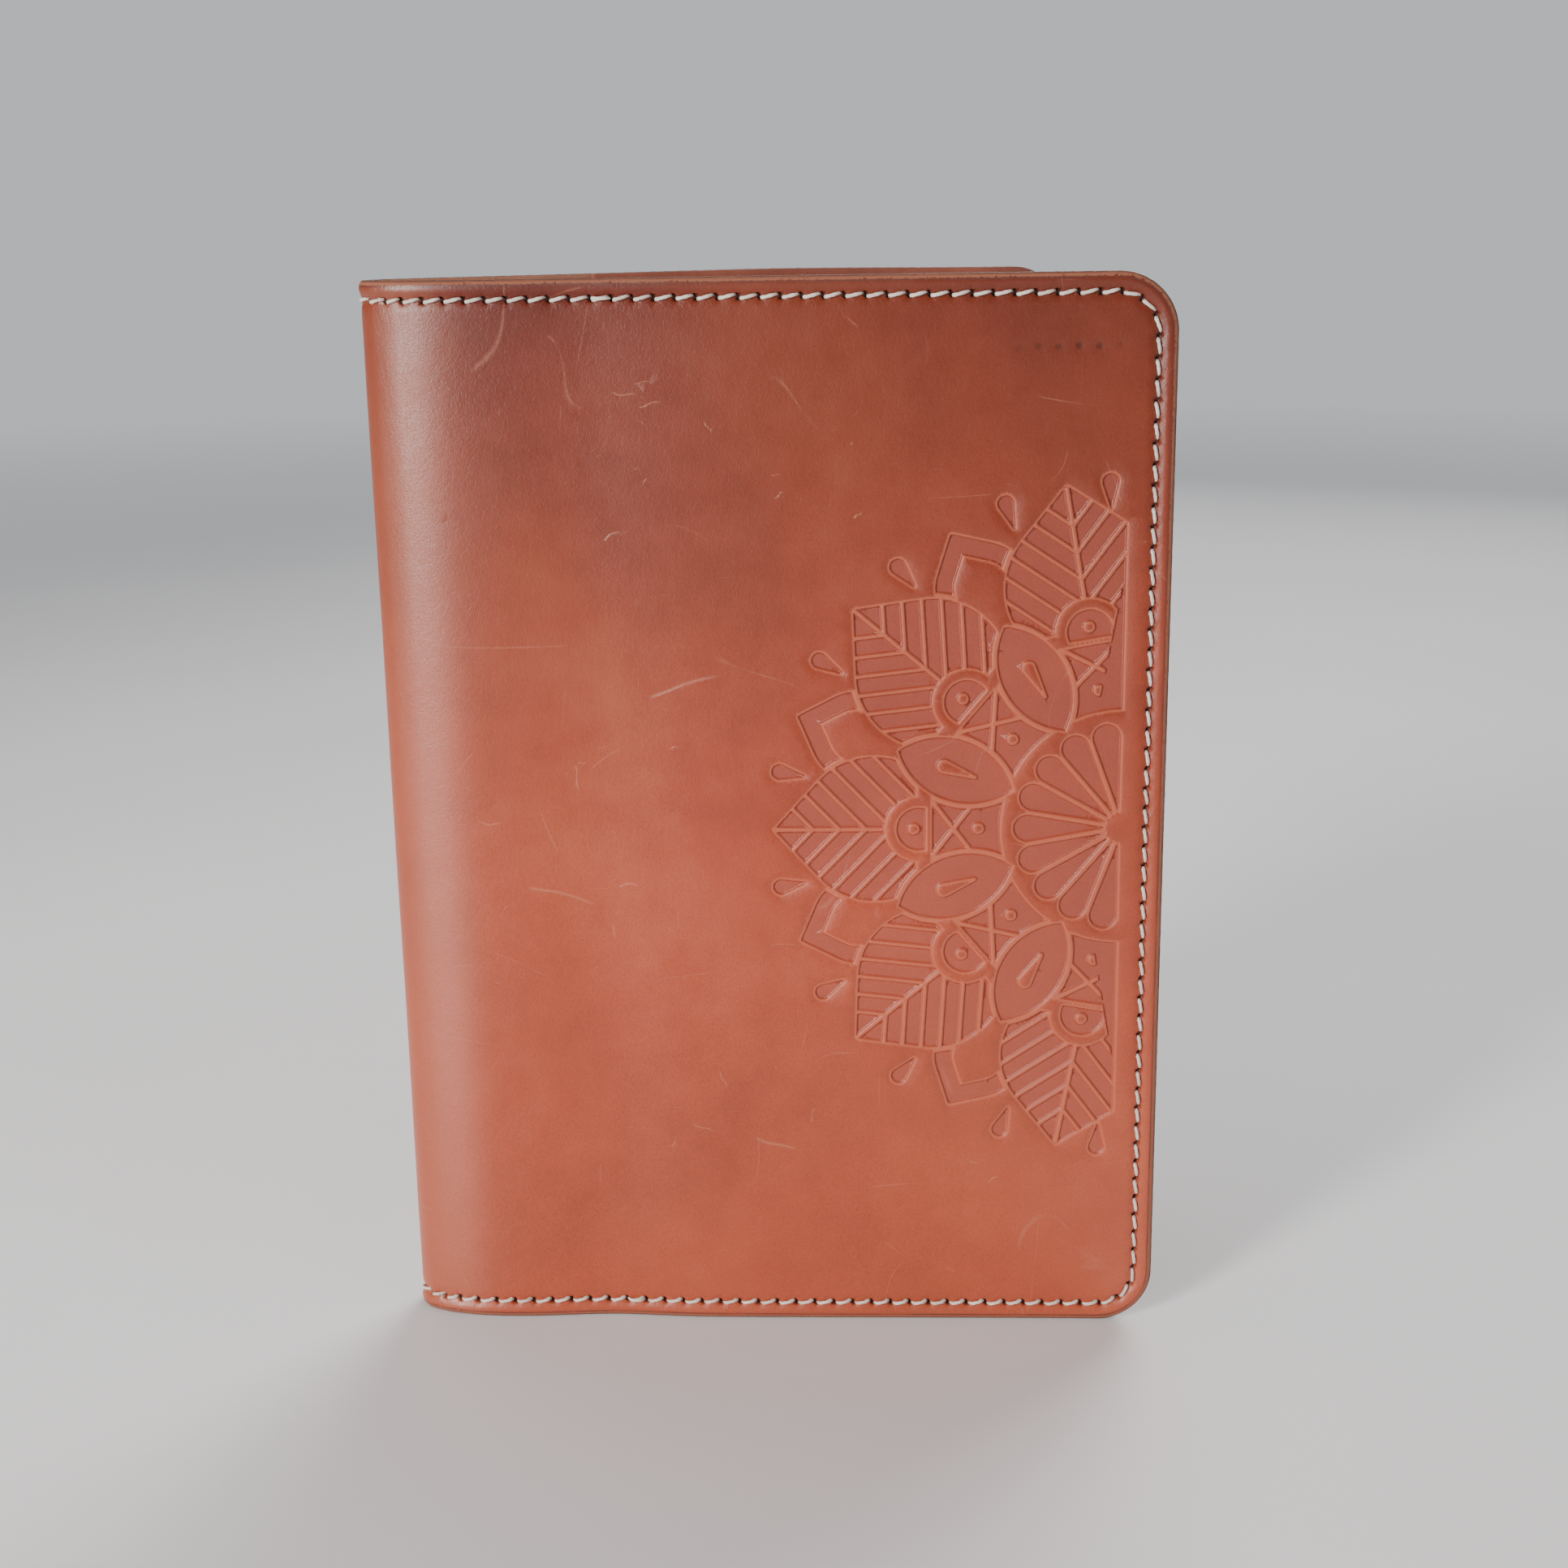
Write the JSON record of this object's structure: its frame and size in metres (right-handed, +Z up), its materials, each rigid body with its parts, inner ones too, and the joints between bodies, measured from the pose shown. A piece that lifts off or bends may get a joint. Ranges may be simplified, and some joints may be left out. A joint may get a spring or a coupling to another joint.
{
  "type": "leather notebook cover",
  "caption": "Folding leather cover for an A5 notebook, with a soft rounded spine, sewn board pockets inside both covers, card pockets and a saddle-stitched edge.",
  "frame": {"origin": "middle of the bottom edge of the spine, half way through the thickness of the hide", "axes": "+Z up along the spine, -Y out of the front cover, +X towards the fore edge of the front cover"},
  "size_m": [0.1591, 0.08, 0.22],
  "materials": {
    "tan_leather": "waxed pull-up leather, satin, with pressed ornament and burnished edges",
    "lining_leather": "smooth tan leather, a little darker than the outside",
    "card_leather": "thin smooth tan leather",
    "waxed_thread": "waxed cream polyester thread"
  },
  "bodies": {
    "spine": {"spine_panel": "tan_leather", "spine_panel_stitch_top": "waxed_thread", "spine_panel_stitch_bottom": "waxed_thread"},
    "front_fold_strip": {"front_fold": "tan_leather", "front_fold_stitch_top": "waxed_thread", "front_fold_stitch_bottom": "waxed_thread"},
    "front": {"front_cover": "tan_leather", "front_pocket": "lining_leather", "card_pocket_upper": "card_leather", "card_pocket_lower": "card_leather", "front_seam_thread": "waxed_thread", "card_thread_upper": "waxed_thread", "card_thread_lower": "waxed_thread"},
    "back_fold_strip": {"back_fold": "tan_leather", "back_fold_stitch_top": "waxed_thread", "back_fold_stitch_bottom": "waxed_thread"},
    "back": {"back_cover": "tan_leather", "back_pocket": "lining_leather", "back_seam_thread": "waxed_thread"}
  },
  "joints": [
    {"name": "front_fold_hinge", "type": "hinge", "parent": "spine", "child": "front_fold_strip", "pos_m": [0.00054, -0.00244, 0.11], "axis": [0, 0, -1], "range_deg": [-6.25, 38.75]},
    {"name": "front_cover_hinge", "type": "hinge", "parent": "front_fold_strip", "child": "front", "pos_m": [0.00444, -0.00557, 0.11], "axis": [0, 0, -1], "range_deg": [-6.25, 38.75]},
    {"name": "back_fold_hinge", "type": "hinge", "parent": "spine", "child": "back_fold_strip", "pos_m": [-0.00054, 0.00244, 0.11], "axis": [0, 0, 1], "range_deg": [-6.25, 38.75]},
    {"name": "back_cover_hinge", "type": "hinge", "parent": "back_fold_strip", "child": "back", "pos_m": [0.00167, 0.00692, 0.11], "axis": [0, 0, 1], "range_deg": [-6.25, 38.75]}
  ],
  "couplings": [
    {"joint": "front_cover_hinge", "follows": "front_fold_hinge", "ratio": 1},
    {"joint": "back_cover_hinge", "follows": "back_fold_hinge", "ratio": 1}
  ]
}
